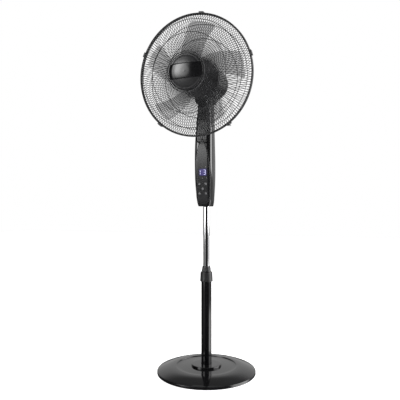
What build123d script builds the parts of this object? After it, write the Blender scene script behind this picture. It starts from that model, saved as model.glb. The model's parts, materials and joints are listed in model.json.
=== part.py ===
from build123d import *
import math
import os

os.makedirs("parts", exist_ok=True)

# Pedestal fan, millimetres, +Z up, the fan faces -Y, origin on the floor on the pole's axis.

# ---- base
base_r = 190.0
base_wall = 3.0
rim_z = 12.0
crown_r = 117.0
crown_z = 28.0
trim_r = 58.0
trim_rise = 6.0
boss_inset = 6.0
pan_z = 4.0
pan_t = 2.0
pad_inset = 18.0
pad_width = 22.0
weight_inset = 40.0
weight_drop = 11.0
flange_inset = 8.0
flange_t = 4.0

# ---- pole
tube_r = 20.0
tube_wall = 1.3
tube_top = 372.0
sleeve_grip = 20.0
sleeve_rise = 17.0
inner_r = 12.5
inner_wall = 1.2
inner_low = 232.0
spigot_wall = 2.9
collet_wall = 1.8
lock_height = 22.0
cable_r = 6.5
socket_height = 45.0

# ---- column: height, half width, front, back, corner radius
column = [
    (642.0, 24.5, -30.5, 19.5, 8.0),
    (656.0, 28.0, -33.5, 18.5, 9.0),
    (686.0, 32.3, -37.0, 17.5, 12.0),
    (728.0, 35.3, -41.5, 18.0, 13.0),
    (800.0, 36.0, -46.5, 19.0, 13.0),
    (880.0, 35.2, -45.5, 16.5, 13.0),
    (938.0, 33.3, -40.5, 16.5, 12.0),
    (977.0, 30.8, -37.5, 19.0, 11.0),
    (1016.0, 27.3, -34.2, 27.0, 9.0),
    (1050.0, 26.0, -33.5, 28.5, 9.0),
]
shell = 2.5
split_y = -8.0
panel_lift = 0.8
panel_depth = 1.6
key_r = 4.5
key_lift = 1.6
key_depth = 4.0
key_gap = 0.3
key_travel = 0.8
board_y = -28.0
board_t = 1.6

# ---- head joint: the tilt axis runs along X, the swing axis stands on it
tilt_drop = 38.0
pitch = 4.5
saddle_r = 35.0
saddle_gap = 1.0
pin_r = 4.0
yoke_in = 12.5
yoke_t = 3.0
neck_rise = 10.5
neck_overlap = 9.0
swing_gap = 0.5
pivot_r = 10.0
axle_rise = 68.15

# ---- swing gears
gear_module = 0.8
sector_teeth = 60
pinion_teeth = 12
backlash = 0.12
gear_rise = 8.5
gear_t = 5.0

# ---- motor, distances forward of the swing axis
motor_front = 55.0
barrel_r = 63.0
plate_t = 5.0
can_r = 45.0
can_wall = 3.0
can_back = -10.0
shaft_r = 4.0
bearing_r = 11.0
bearing_t = 7.0
stator_in = 25.0
air_gap = 0.5

# ---- guards and blades, distances forward of the swing axis
rim_s = 113.0
rim_r = 220.0
rim_wall = 1.4
bead_wire = 2.4
bead_off = 2.6
lip_hold = 1.1
wire_r = 1.1
wires = 60
plate_r = 62.0
cap_r = 64.0
cap_s = 195.0
clip_angles = (15.0, 81.0, 154.0, 229.0, 305.0)
hub_r = 38.0
hub_back = 76.0
hub_front = 128.0
tip_gap = 26.7
blades = 5
blade_t = 2.4

running = 0.06

# ---- sizes that follow from those above
pan_r = base_r - base_wall
trim_top = crown_z + trim_rise
weight_top = crown_z - weight_drop
weight_r = base_r - weight_inset
flange_r = trim_r - flange_inset
sleeve_low = tube_top - sleeve_grip
sleeve_top = tube_top + sleeve_rise
spigot_r = inner_r + spigot_wall
collet_r = inner_r + collet_wall
lock_top = sleeve_top + lock_height
socket_low = column[0][0] + shell + 0.5
socket_top = socket_low + socket_height
tilt_z = column[-1][0] - tilt_drop
neck_low = saddle_r - neck_overlap
neck_top = saddle_r + neck_rise
gear_low = neck_top + gear_rise
axle_h = neck_top + axle_rise
bead_r = rim_r - rim_wall - bead_wire
lip_r = bead_r + bead_wire - lip_hold
blade_r = bead_r - tip_gap


def ring(outer, inner, low, high):
    """A tube about Z from one height to another."""
    return Pos(0, 0, low) * extrude(Circle(outer) - Circle(inner), high - low)


def disc(radius, low, high):
    return Pos(0, 0, low) * extrude(Circle(radius), high - low)


def turned(*points):
    """The solid made by turning a closed (radius, height) outline about Z."""
    outline = Polyline(*[(r, 0, z) for r, z in points], close=True)
    return revolve(make_face(outline), Axis.Z)


def across(radius, half, x=0.0, y=0.0, z=0.0):
    """A cylinder lying along X."""
    return Pos(x, y, z) * Rot(0, 90, 0) * Cylinder(radius, 2 * half)


def block(x0, x1, y0, y1, z0, z1):
    size = (x1 - x0, y1 - y0, z1 - z0)
    return Pos((x0 + x1) / 2, (y0 + y1) / 2, (z0 + z1) / 2) * Box(*size)


def tower(sections, grow=0.0, low=None, high=None):
    """The column's outside, grown outwards by a distance, cut to a height range."""
    faces = []
    for z, half, front, back, corner in sections:
        outline = RectangleRounded(2 * (half + grow), back - front + 2 * grow, corner + grow)
        faces.append(Pos(0, (front + back) / 2, z) * outline)
    body = loft(faces)
    low = sections[0][0] if low is None else low
    high = sections[-1][0] if high is None else high
    return body & block(-80, 80, -120, 140, low, high)


def front_at(z):
    """Where the column's front stands at a height."""
    for lower, upper in zip(column, column[1:]):
        if lower[0] <= z <= upper[0]:
            part = (z - lower[0]) / (upper[0] - lower[0])
            return lower[2] + part * (upper[2] - lower[2])
    return column[-1][2]


def save(shape, name):
    export_step(shape, f"parts/{name}.step")


# ---------------------------------------------------------------- base
dome_r = (base_r + crown_r) / 2 + 1.5
dome_z = rim_z + 0.6 * (crown_z - rim_z)
hole_r = trim_r - boss_inset
under_z = crown_z - 1 - base_wall
skirt = make_face(
    [
        Line((base_r, 0, 1), (base_r, 0, rim_z - 4)),
        Line((base_r, 0, rim_z - 4), (pan_r, 0, rim_z)),
        Spline((pan_r, 0, rim_z), (dome_r, 0, dome_z), (crown_r, 0, crown_z)),
        Line((crown_r, 0, crown_z), (crown_r - 3, 0, crown_z - 2)),
        Line((crown_r - 3, 0, crown_z - 2), (hole_r, 0, crown_z - 1)),
        Line((hole_r, 0, crown_z - 1), (hole_r, 0, under_z)),
        Line((hole_r, 0, under_z), (crown_r - 2, 0, under_z - 1)),
        Spline(
            (crown_r - 2, 0, under_z - 1),
            (dome_r - 1, 0, dome_z - base_wall - 0.6),
            (pan_r - 3.5, 0, rim_z - 2),
        ),
        Line((pan_r - 3.5, 0, rim_z - 2), (pan_r, 0, rim_z - 5)),
        Line((pan_r, 0, rim_z - 5), (pan_r, 0, 1)),
        Line((pan_r, 0, 1), (base_r, 0, 1)),
    ]
)
save(revolve(skirt, Axis.Z), "base_cover")
pad_r = base_r - pad_inset
save(ring(pad_r, pad_r - pad_width, 0, pan_z), "anti_slip_ring")
save(ring(pan_r, 14, pan_z, pan_z + pan_t), "base_pan")
save(
    turned(
        (tube_r + 0.3, trim_top),
        (trim_r - 2, trim_top),
        (trim_r, trim_top - 2),
        (trim_r, crown_z - 1),
        (trim_r - base_wall, crown_z - 1),
        (trim_r - base_wall, trim_top - base_wall),
        (tube_r + 0.3, trim_top - base_wall),
    ),
    "pole_trim",
)

flange_top = weight_top + flange_t
screw_spots = [Rot(0, 0, 45 + 90 * i) * Pos(flange_r - 8, 0, 0) for i in range(4)]
flange = turned(
    (tube_r, weight_top),
    (flange_r, weight_top),
    (flange_r, flange_top),
    (tube_r + 6, flange_top),
    (tube_r + 2.5, trim_top - base_wall - 1),
    (tube_r, trim_top - base_wall - 1),
)
weight = ring(weight_r, 20, pan_z + pan_t, weight_top)
screw = disc(2.5, weight_top - 8, flange_top) + disc(5.0, flange_top, flange_top + 3)
screw -= Pos(0, 0, flange_top + 1.5) * extrude(RegularPolygon(2.4, 6), 3)
for spot in screw_spots:
    flange -= spot * disc(2.5, 0, 60)
    weight -= spot * disc(2.5, weight_top - 8, weight_top)
save(flange, "tube_flange")
save(weight, "base_weight")
save(Compound(children=[spot * screw for spot in screw_spots]), "flange_screws")

# ---------------------------------------------------------------- pole
save(ring(tube_r, tube_r - tube_wall, weight_top, tube_top), "outer_tube")
save(
    turned(
        (tube_r, sleeve_low),
        (tube_r + 4.3, sleeve_low),
        (tube_r + 4.9, sleeve_low + 1.5),
        (tube_r + 3.1, sleeve_top - 1),
        (tube_r + 2.4, sleeve_top),
        (spigot_r, sleeve_top),
        (spigot_r, sleeve_top + 9),
        (collet_r, sleeve_top + 9),
        (collet_r, tube_top),
        (tube_r, tube_top),
    ),
    "tube_sleeve",
)
collet = turned(
    (inner_r + running, tube_top + 4),
    (collet_r, tube_top + 4),
    (collet_r, sleeve_top + 10),
    (collet_r - 0.6, sleeve_top + 16),
    (inner_r + running, sleeve_top + 16),
)
save(collet - block(0, 30, -1.2, 1.2, tube_top - 2, lock_top), "collet")
grip = turned(
    (spigot_r + running, sleeve_top + 0.4),
    (spigot_r + 3, sleeve_top + 0.4),
    (spigot_r + 3, sleeve_top + 3),
    (spigot_r + 0.6, lock_top - 1),
    (spigot_r - 0.2, lock_top),
    (inner_r + 0.4, lock_top),
    (inner_r + 0.4, lock_top - 4),
    (spigot_r - 1.3, lock_top - 5),
    (spigot_r - 0.5, sleeve_top + 10),
    (spigot_r + running, sleeve_top + 9.4),
)
for i in range(12):
    grip -= Rot(0, 0, 30 * i) * Pos(spigot_r + 3.7, 0, sleeve_top) * Cylinder(1.2, 24)
save(grip, "lock_ring")

inner_bore = inner_r - inner_wall
save(ring(inner_r, inner_bore, inner_low, socket_top - 5), "inner_tube")
save(
    turned(
        (inner_r - 4.5, inner_low - 10),
        (tube_r - tube_wall - running, inner_low - 10),
        (tube_r - tube_wall - running, inner_low + 18),
        (inner_r, inner_low + 18),
        (inner_r, inner_low),
        (inner_r - 4.5, inner_low),
    ),
    "tube_foot",
)

# ---------------------------------------------------------------- column
floor_z = column[0][0]
saddle = across(saddle_r, 60, z=tilt_z) + block(-60, 60, -80, 80, 600, tilt_z + 4)
saddle_in = across(saddle_r - shell, 60, z=tilt_z) + block(-60, 60, -80, 80, 600, tilt_z + 4)
outside = tower(column) & saddle
inside = tower(column, -shell, low=floor_z + 3) & saddle_in
proud = tower(column, panel_lift)
sunk = tower(column, -panel_depth)
key_face = tower(column, key_lift)
key_back = tower(column, -key_depth)

arch = [(0, 900), (9.0, 884), (17.5, 862), (25.0, 825), (30.0, 780), (30.8, 740), (28.3, 700), (23.0, 662)]
right_edge = Spline(*[(x, 0, z) for x, z in arch])
left_edge = Spline(*[(-x, 0, z) for x, z in arch])
foot_edge = ThreePointArc((23.0, 0, 662), (0, 0, 654), (-23.0, 0, 662))
leaf = extrude(make_face([right_edge, foot_edge, left_edge]), 80, dir=(0, -1, 0))

window = Pos(3, 0, 771) * Rot(90, 0, 0) * extrude(RectangleRounded(34, 27, 2), 80)
key_spots = {
    "key_power": (-13.0, 727.5),
    "key_swing": (13.0, 727.5),
    "key_mode": (0.0, 709.0),
    "key_timer": (-13.0, 691.0),
    "key_speed": (13.0, 691.0),
}
light_spots = [(14.2, 790.5), (17.0, 749.0), (0.0, 749.0)]


def rod(x, z, radius):
    """A round bar running forwards from the pole's axis plane."""
    return Pos(x, 0, z) * Rot(90, 0, 0) * extrude(Circle(radius), 80)


walls = outside - inside
shelf_top = tilt_z - 27.0
shelf = tower(column, -shell, low=shelf_top - 5, high=shelf_top)
shelf -= disc(cable_r, shelf_top - 10, shelf_top + 5)
walls += shelf
boss_spots = [(x, z) for x in (-21.5, 21.5) for z in (668.0, 905.0)]
for x, z in boss_spots:
    walls += Pos(x, -60, z) * Rot(-90, 0, 0) * extrude(Circle(4.5), 100) & tower(column, -shell / 2)
    walls -= Pos(x, -24, z) * Rot(-90, 0, 0) * extrude(Circle(1.5), 60)
    walls -= Pos(x, 5, z) * Rot(-90, 0, 0) * extrude(Circle(3.3), 60)
slot_half = 11.0
walls -= block(-slot_half, slot_half, -17, 17, tilt_z + 20, tilt_z + 60)
walls -= Pos(0, 0, floor_z) * Cylinder(inner_r + 0.1, 20)
grommet_z = 700.0
grommet_y = 12.0
walls -= Pos(0, grommet_y, grommet_z) * Rot(-90, 0, 0) * extrude(Circle(5.0), 30)
walls -= leaf - sunk
for x, z in key_spots.values():
    walls -= rod(x, z, key_r + key_gap)
for x, z in light_spots:
    walls -= rod(x, z, 1.6)
walls -= window
save(walls & block(-90, 90, -90, split_y, 600, 1100), "column_front")
save(walls & block(-90, 90, split_y, 90, 600, 1100), "column_rear")

panel = leaf & (proud - sunk)
panel -= window
for x, z in key_spots.values():
    panel -= rod(x, z, key_r + key_gap)
for x, z in light_spots:
    panel -= rod(x, z, 1.6)
save(panel, "control_panel")
save(window & (proud - sunk), "display_lens")
save(
    Compound(children=[rod(x, z, 1.6) & (proud - key_back) for x, z in light_spots]),
    "indicator_lights",
)
for name, (x, z) in key_spots.items():
    save(rod(x, z, key_r) & (key_face - key_back), name)

board_front = board_y - board_t
board = block(-24, 24, board_front, board_y, 680, 800)
for x, z in key_spots.values():
    board += block(x - 3, x + 3, front_at(z) + key_depth + key_travel + 0.8, board_front, z - 3, z + 3)
save(board, "control_board")
save(block(-12, 18, front_at(771) + panel_depth + 1.2, board_front, 759, 783), "display_module")

power = block(-20, 20, -22, -20.4, 815, 885) + block(-16, 4, -20.4, -4, 820, 845)
power += Pos(9, -13, 865) * Cylinder(6, 24)
power += block(8.5, 9.5, -20.5, -18.5, 853, 877)
save(power, "power_board")
save(
    block(-inner_r - 3.5, inner_r + 3.5, -inner_r - 0.5, inner_r + 0.5, socket_low, socket_top)
    - disc(inner_r, 600, socket_top - 5)
    - disc(cable_r, 600, 750),
    "tube_socket",
)
fixing = Rot(-90, 0, 0) * (extrude(Circle(1.5), 25) + Pos(0, 0, 25) * extrude(Circle(3.1), 2.5))
save(
    Compound(children=[Pos(x, -20, z) * fixing for x, z in boss_spots]),
    "column_screws",
)
back_wall = Pos(0, grommet_y, grommet_z) * Rot(-90, 0, 0)
save(back_wall * (ring(5.0, 2.2, 0, 8) + ring(7.0, 2.2, 8, 10.5)), "cord_grommet")

yoke_out = yoke_in + yoke_t
yoke = block(-yoke_out, yoke_out, -13, 13, shelf_top, shelf_top + yoke_t)
for side in (-1, 1):
    x = side * (yoke_in + yoke_t / 2)
    yoke += block(x - yoke_t / 2, x + yoke_t / 2, -11, 11, shelf_top, tilt_z)
    yoke += across(11, yoke_t / 2, x=x, z=tilt_z)
yoke -= across(pin_r, 40, z=tilt_z)
yoke -= disc(cable_r, shelf_top - 5, shelf_top + 15)
save(yoke, "tilt_yoke")
pin = across(pin_r, yoke_out + 3, x=1.5, z=tilt_z) + across(pin_r + 3, 1.5, x=-yoke_out - 1.5, z=tilt_z)
save(pin, "tilt_pin")
nut = Pos(yoke_out, 0, tilt_z) * Rot(0, 90, 0) * extrude(RegularPolygon(pin_r + 3, 6) - Circle(pin_r), 4)
save(nut, "tilt_nut")

# ---------------------------------------------------------------- neck, swung forward by the pitch
head = Pos(0, 0, tilt_z) * Rot(pitch, 0, 0)
neck = [
    (neck_low, 30.0, -41.0, 36.0, 9.0),
    (saddle_r + saddle_gap, 32.0, -42.5, 47.0, 9.0),
    (neck_top, 34.5, -44.0, 63.0, 9.0),
]
hollow = [(neck_low - 8, 27.0, -38.0, 30.0, 6.0)]
hollow += [(z, half - 3, front + 3, back - 3, corner - 3) for z, half, front, back, corner in neck[:2]]
hollow.append((neck_top - 3, 30.7, -40.5, 54.5, 6.0))
collar = tower(neck) - tower(hollow) - across(saddle_r + saddle_gap, 80)
collar -= disc(pivot_r, 0, 80)
save(head * collar, "neck_shell")

eye_r = pin_r + 6
bracket = across(eye_r, 9) + block(-9, 9, -9, 9, 0, neck_top - 6)
bracket += block(-22, 22, -22, 22, neck_top - 6, neck_top - 3)
bracket += disc(pivot_r, neck_top - 3, gear_low + gear_t + 2)
bracket -= across(pin_r + running, 30)
bracket -= disc(5.5, pin_r + 8, 90)
save(head * bracket, "tilt_bracket")
washer = across(eye_r, 1.7, x=10.75) - across(pin_r + running, 30)
save(
    head * Compound(children=[washer, Rot(0, 0, 180) * washer]),
    "tilt_washers",
)


def gear(teeth, play):
    """A spur gear's outline: involute flanks at a 20 degree pressure angle."""
    pitch_r = gear_module * teeth / 2
    base = pitch_r * math.cos(math.radians(20))
    tip = pitch_r + gear_module
    root = pitch_r - 1.25 * gear_module
    half = math.pi / (2 * teeth) - play / (2 * pitch_r) + math.tan(math.radians(20)) - math.radians(20)
    steps = 4
    flank = []
    for k in range(steps + 1):
        r = max(base, root) + (tip - max(base, root)) * k / steps
        roll = math.acos(min(1.0, base / r))
        flank.append((r, half - (math.tan(roll) - roll)))
    points = []
    for tooth in range(teeth):
        middle = 2 * math.pi * tooth / teeth
        points.append((root, middle - half))
        points += [(r, middle - a) for r, a in flank]
        points += [(r, middle + a) for r, a in reversed(flank)]
        points.append((root, middle + half))
    corners = [(r * math.cos(a), r * math.sin(a)) for r, a in points]
    return make_face(Polyline(*corners, close=True))


swing_centre = gear_module * (sector_teeth + pinion_teeth) / 2
fixed = Pos(0, 0, gear_low) * extrude(gear(sector_teeth, backlash) - Circle(pivot_r), gear_t)
save(head * fixed, "swing_gear")
save(head * ring(14, pivot_r - 1.5, gear_low + gear_t + 2, gear_low + gear_t + 3.5), "swing_washer")
half_tooth = 180 / pinion_teeth
spin = Pos(0, swing_centre, gear_low) * Rot(0, 0, 90 + half_tooth)
small = spin * extrude(gear(pinion_teeth, backlash) - Circle(1.5), gear_t)
save(head * small, "swing_pinion")
save(head * Pos(0, swing_centre, 0) * disc(1.5, gear_low - 1, gear_low + 20), "pinion_shaft")

# ---------------------------------------------------------------- head housing
axle = head * Pos(0, 0, axle_h) * Rot(90, 0, 0)
turn = Pos(0, 0, axle_h) * Rot(90, 0, 0)
chin_low = neck_top + swing_gap
chin = [
    (chin_low, 35.0, -45.0, 64.0, 10.0),
    (neck_top + 11.5, 39.0, -50.0, 82.0, 12.0),
    (neck_top + 24.5, 45.0, -53.0, 98.0, 14.0),
    (neck_top + 38.5, 46.0, -53.0, 103.0, 14.0),
]
chin_in = [(z, half - 3, front + 3, back - 3, corner - 3) for z, half, front, back, corner in chin]


def barrel(grow):
    """The motor housing's turned body."""
    return turned(
        (0, motor_front + grow),
        (barrel_r + 1 + grow, motor_front + grow),
        (barrel_r + 3 + grow, motor_front - 3 + grow),
        (barrel_r + grow, 0),
        (barrel_r - 1.5 + grow, -60),
        (barrel_r - 3 + grow, -98),
        (barrel_r - 7 + grow, -109 - grow),
        (barrel_r - 21 + grow, -116 - grow),
        (25, -119 - grow),
        (0, -120 - grow),
    )


mount_z = gear_low + 8
housing = turn * barrel(0) + tower(chin)
core = turn * (barrel(-3) & block(-90, 90, -90, 90, -140, motor_front - plate_t))
core += tower(chin_in, low=chin_low + 3)
housing -= core
housing += turn * ring(22, 12, motor_front, motor_front + 17)
housing -= turn * disc(12, 40, 80)
housing -= disc(14, 0, 60)
for side in (-1, 1):
    housing += Pos(side * 19, swing_centre, chin_low) * extrude(Circle(3.5), mount_z - chin_low)
for i in range(9):
    vent = block(-24 + 3.0 * abs(i - 4), 24 - 3.0 * abs(i - 4), -1.3, 1.3, -140, -100)
    housing -= turn * Pos(0, -28 + 7 * i, 0) * vent
split_s = 28.0
ahead = block(-120, 120, -120, -split_s, -20, 260)
save(head * (housing & ahead), "motor_shell_front")
save(head * (housing - ahead), "motor_shell_rear")
bush = ring(14, pivot_r + running, chin_low, chin_low + 3)
bush += ring(17, pivot_r + running, chin_low + 3, chin_low + 7)
save(head * bush, "swing_bush")
drive = disc(14, mount_z, mount_z + 15)
for side in (-1, 1):
    drive += block(side * 18 - 5, side * 18 + 5, -4, 4, mount_z, mount_z + 2)
drive -= disc(1.5 + running, mount_z - 5, mount_z + 13.5)
save(head * Pos(0, swing_centre, 0) * drive, "swing_motor")

# ---------------------------------------------------------------- motor
can_front = motor_front - plate_t
can_mid = (can_front + can_back) / 2
pocket = bearing_t + can_wall
front_can = ring(can_r, can_r - can_wall, can_mid, can_front)
front_can += ring(can_r, shaft_r + 2, can_front - can_wall, can_front)
front_can += ring(bearing_r + 3, bearing_r, can_front - pocket, can_front - can_wall)
save(axle * front_can, "motor_can_front")
rear_can = ring(can_r, can_r - can_wall, can_back, can_mid)
rear_can += ring(can_r, shaft_r + 2, can_back, can_back + can_wall)
rear_can += ring(bearing_r + 3, bearing_r, can_back + can_wall, can_back + pocket)
save(axle * rear_can, "motor_can_rear")
race = ring(bearing_r, shaft_r + running, 0, bearing_t)
races = [Pos(0, 0, can_back + can_wall) * race, Pos(0, 0, can_front - pocket) * race]
save(axle * Compound(children=races), "motor_bearings")
stack_low = can_back + 14.0
stack_high = can_front - 14.0
yoke_r = can_r - 9
stator = ring(can_r - can_wall, yoke_r, stack_low, stack_high)
for i in range(12):
    stator += Rot(0, 0, 30 * i) * block(stator_in + 0.6, yoke_r + 2, -3, 3, stack_low, stack_high)
    stator += Rot(0, 0, 30 * i) * (ring(stator_in + 2.4, stator_in, stack_low, stack_high)
                                   & block(0, 60, -5, 5, -50, 80))
save(axle * stator, "stator")
coils = [
    ring(yoke_r, stator_in + 4, stack_low - 3, stack_low),
    ring(yoke_r, stator_in + 4, stack_high, stack_high + 3),
]
save(axle * Compound(children=coils), "windings")
save(axle * ring(stator_in - air_gap, shaft_r, stack_low + 0.5, stack_high - 0.5), "rotor_core")
shaft = disc(shaft_r, can_back + can_wall + 0.5, 142)
shaft -= block(shaft_r - 0.8, 10, -10, 10, hub_back + 6, 142)
save(axle * shaft, "motor_shaft")

# ---------------------------------------------------------------- guards
# share of the way from the wires' inner ends to the bead, distance forward of the rim plane
front_path = [(0, 80.2), (0.288, 73.5), (0.512, 62), (0.832, 40), (0.947, 20), (1, 5)]
rear_path = [(0, -56.0), (0.279, -60), (0.538, -60), (0.752, -43), (0.895, -19), (1, -4)]


def beside(points, gap):
    """A line a fixed distance to one side of an open line of (radius, height) points."""
    moved = []
    for i, (r, t) in enumerate(points):
        before = points[max(i - 1, 0)]
        after = points[min(i + 1, len(points) - 1)]
        length = math.hypot(after[0] - before[0], after[1] - before[1])
        moved.append((r - gap * (after[1] - before[1]) / length, t + gap * (after[0] - before[0]) / length))
    return moved


def guard(path_points, plate, hoops):
    """One grille: flat-sided radial wires welded to a centre plate, hoops and the rim bead."""
    inner_end = plate_r - 2
    path = [(inner_end + share * (bead_r - inner_end), rim_s + t) for share, t in path_points]
    dish = turned(*beside(path, wire_r), *reversed(beside(path, -wire_r)))
    wire = dish & block(plate_r / 2, rim_r + 50, -wire_r, wire_r, -20, 260)
    copies = [Rot(0, 0, 360 * i / wires) * wire for i in range(wires)]
    rings = [ring(r + w, r - w, rim_s + t - w, rim_s + t + w) for r, t, w in hoops]
    return plate.fuse(*rings, *copies)


front_plate = ring(plate_r, 6, rim_s + 79.6, rim_s + 81.6)
front_hoops = [
    (plate_r + 8, 78.8, 1.6),
    (bead_r - 76.2, 60.2, 1.4),
    (bead_r - 26.2, 38.2, 1.4),
    (bead_r, bead_off, bead_wire),
]
save(axle * guard(front_path, front_plate, front_hoops), "front_guard")
rear_plate = ring(plate_r + 10, 22, motor_front, motor_front + 2.5)
rear_hoops = [
    (plate_r + 14, -57.0, 1.4),
    (bead_r - 71.2, -58.2, 1.4),
    (bead_r - 26.2, -30.5, 1.4),
    (bead_r, -bead_off, bead_wire),
]
save(axle * guard(rear_path, rear_plate, rear_hoops), "rear_guard")

nut = ring(34, 22, motor_front + 2.5, motor_front + 11)
for i in range(12):
    nut -= Rot(0, 0, 30 * i) * Pos(36.5, 0, motor_front + 9) * Cylinder(4.5, 12)
save(axle * nut, "guard_nut")
rim_half = bead_off + bead_wire + 1.6
band = turned(
    (rim_r, rim_s - rim_half),
    (rim_r, rim_s + rim_half),
    (lip_r, rim_s + rim_half),
    (lip_r, rim_s + bead_off + bead_wire),
    (bead_r + bead_wire, rim_s + bead_off + bead_wire),
    (bead_r + bead_wire, rim_s - bead_off - bead_wire),
    (lip_r, rim_s - bead_off - bead_wire),
    (lip_r, rim_s - rim_half),
)
save(axle * band, "guard_rim")
clip_r = rim_r + 4
hook = turned(
    (clip_r, rim_s - rim_half - 2),
    (clip_r, rim_s + rim_half + 2),
    (lip_r, rim_s + rim_half + 2),
    (lip_r, rim_s + rim_half),
    (rim_r, rim_s + rim_half),
    (rim_r, rim_s - rim_half),
    (lip_r, rim_s - rim_half),
    (lip_r, rim_s - rim_half - 2),
)
hook &= block(rim_r / 2, rim_r + 50, -9, 9, 0, 300)
hooks = [Rot(0, 0, angle) * hook for angle in clip_angles]
save(axle * Compound(children=hooks), "rim_clips")
bolt = extrude(Circle(3), 6) - Pos(0, 0, 5) * extrude(Rectangle(8, 1), 2)
save(axle * Rot(0, 0, clip_angles[-1]) * Pos(clip_r, 0, rim_s) * Rot(0, 90, 0) * bolt, "rim_screw")

dome = [
    (0, cap_s + 13),
    (cap_r - 42, cap_s + 12.2),
    (cap_r - 22, cap_s + 9.6),
    (cap_r - 8, cap_s + 6),
    (cap_r - 2, cap_s + 3),
]
cap = turned(
    *dome,
    (cap_r, cap_s),
    (cap_r, cap_s - 0.4),
    (cap_r - 2.5, cap_s - 0.4),
    (cap_r - 4, cap_s + 1),
    (cap_r - 10, cap_s + 3.8),
    (cap_r - 23, cap_s + 7.2),
    (cap_r - 42, cap_s + 9.7),
    (0, cap_s + 10.5),
)
kept = turned((0, 0), (cap_r - 1, 0), (cap_r - 1, cap_s + 0.6), *reversed(dome))
for y in (-24, 27):
    cap -= block(-70, 70, y - 0.8, y + 0.8, cap_s + 0.5, cap_s + 40) - Pos(0, 0, -1.0) * kept
cap += ring(8, 5, cap_s - 0.4, cap_s + 11)
save(axle * cap, "front_cap")

# ---------------------------------------------------------------- blades
# distance out, middle and half width across, half depth, camber, distance forward
stations = [
    (33.0, 14.0, 20.0, 15.0, 2.0, 108.0),
    (80.0, 10.0, 34.0, 18.0, 5.0, 111.0),
    (130.0, -8.5, 41.5, 15.0, 7.0, 114.0),
    (blade_r - 19, -33.0, 49.0, 12.0, 6.0, 115.0),
    (blade_r + 8, -56.0, 56.0, 10.0, 5.0, 116.0),
]


def station(out, middle, half, depth, camber, forward):
    """One blade section: a cambered line given a thickness that thins towards its ends."""
    length = math.hypot(half, depth)
    nx, ns = -depth / length, half / length
    upper = []
    lower = []
    for k in range(9):
        u = -1 + k / 4
        bend = camber * (1 - u * u)
        thick = blade_t / 2 * (1 - 0.6 * u * u)
        x = middle + u * half
        s = forward + u * depth
        upper.append((out, x + (bend + thick) * nx, s + (bend + thick) * ns))
        lower.append((out, x + (bend - thick) * nx, s + (bend - thick) * ns))
    edges = [
        Spline(*upper),
        Line(upper[-1], lower[-1]),
        Spline(*lower),
        Line(upper[0], lower[0]),
    ]
    return make_face(edges)


blade = loft([station(*values) for values in stations]) & disc(blade_r, 0, 250)
fan = ring(hub_r, hub_r - 3, hub_back, hub_front)
fan += disc(hub_r, hub_front - 3, hub_front)
fan += disc(11, hub_back + 4, hub_front)
for i in range(5):
    fan += Rot(0, 0, 36 + 72 * i) * block(8, hub_r - 1, -1.2, 1.2, hub_back + 8, hub_front)
fan -= disc(shaft_r, 0, 250) - block(shaft_r - 0.8, 10, -10, 10, hub_back, 250)
for i in range(blades):
    fan += Rot(0, 0, 90 + 72 * i) * blade - disc(hub_r - 1, 0, 250)
save(axle * fan, "fan_blades")
spinner = turned(
    (shaft_r, hub_front),
    (15, hub_front),
    (14, hub_front + 10),
    (9, hub_front + 16),
    (0, hub_front + 17.5),
    (0, 142),
    (shaft_r, 142),
)
save(axle * spinner, "blade_nut")
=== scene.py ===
# %% [markdown]
# # A pedestal fan, built around its CAD frame
# The fan's hidden parts (motor, gears, boards, weight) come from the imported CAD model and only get
# better materials here. The parts that people look at, such as the wire guard, the glossy housings
# and the smoky blades, are made again as smooth surfaces with numpy, because a CAD mesh is faceted
# and gloss shows every facet.

# %% Load the frame
import json
import math

import bmesh
import bpy
import numpy as np
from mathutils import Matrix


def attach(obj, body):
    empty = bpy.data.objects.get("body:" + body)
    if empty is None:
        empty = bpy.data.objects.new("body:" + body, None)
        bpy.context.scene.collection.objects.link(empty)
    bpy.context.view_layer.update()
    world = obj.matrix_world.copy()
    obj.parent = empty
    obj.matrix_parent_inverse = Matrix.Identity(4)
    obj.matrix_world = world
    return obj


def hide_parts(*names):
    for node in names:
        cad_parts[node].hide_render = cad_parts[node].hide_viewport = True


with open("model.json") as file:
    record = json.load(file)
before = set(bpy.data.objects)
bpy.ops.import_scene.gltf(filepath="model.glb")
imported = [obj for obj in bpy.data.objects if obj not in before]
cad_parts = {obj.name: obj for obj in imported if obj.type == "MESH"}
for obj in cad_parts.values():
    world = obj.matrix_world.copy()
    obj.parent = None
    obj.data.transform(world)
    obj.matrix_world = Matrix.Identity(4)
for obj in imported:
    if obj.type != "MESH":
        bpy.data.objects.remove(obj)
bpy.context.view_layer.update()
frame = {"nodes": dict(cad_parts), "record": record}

# %% [markdown]
# ## Camera
# A product shot of a tall object is taken level, from the middle of its height, so that the upright
# pole stays upright. The lens is a short portrait one. A small vertical shift moves the frame up
# without tipping the camera, which would make the verticals lean.

# %% Camera
AZIMUTH = math.radians(21.5)
back = np.array([math.sin(AZIMUTH), -math.cos(AZIMUTH), 0.0])
right = np.array([math.cos(AZIMUTH), math.sin(AZIMUTH), 0.0])
camera_data = bpy.data.cameras.new("studio_camera")
camera_data.lens = 41.94
camera_data.sensor_width = 36.0
camera_data.shift_y = 0.025
camera_data.clip_start, camera_data.clip_end = 0.05, 60.0
camera = bpy.data.objects.new("studio_camera", camera_data)
camera.location = tuple(back * 1.809 - right * 0.0248 + np.array([0, 0, 0.628]))
camera.rotation_euler = (math.pi / 2, 0.0, AZIMUTH)
bpy.context.collection.objects.link(camera)
bpy.context.scene.camera = camera
print("camera at", [round(v, 3) for v in camera.location])

# %% [markdown]
# ## Shader arithmetic
# Blender's shader maths is a graph of small nodes, which is hard to read when it is built call by
# call. A thin wrapper lets a recipe say `rough + 0.1 * dust` and adds the Math nodes itself.

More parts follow.
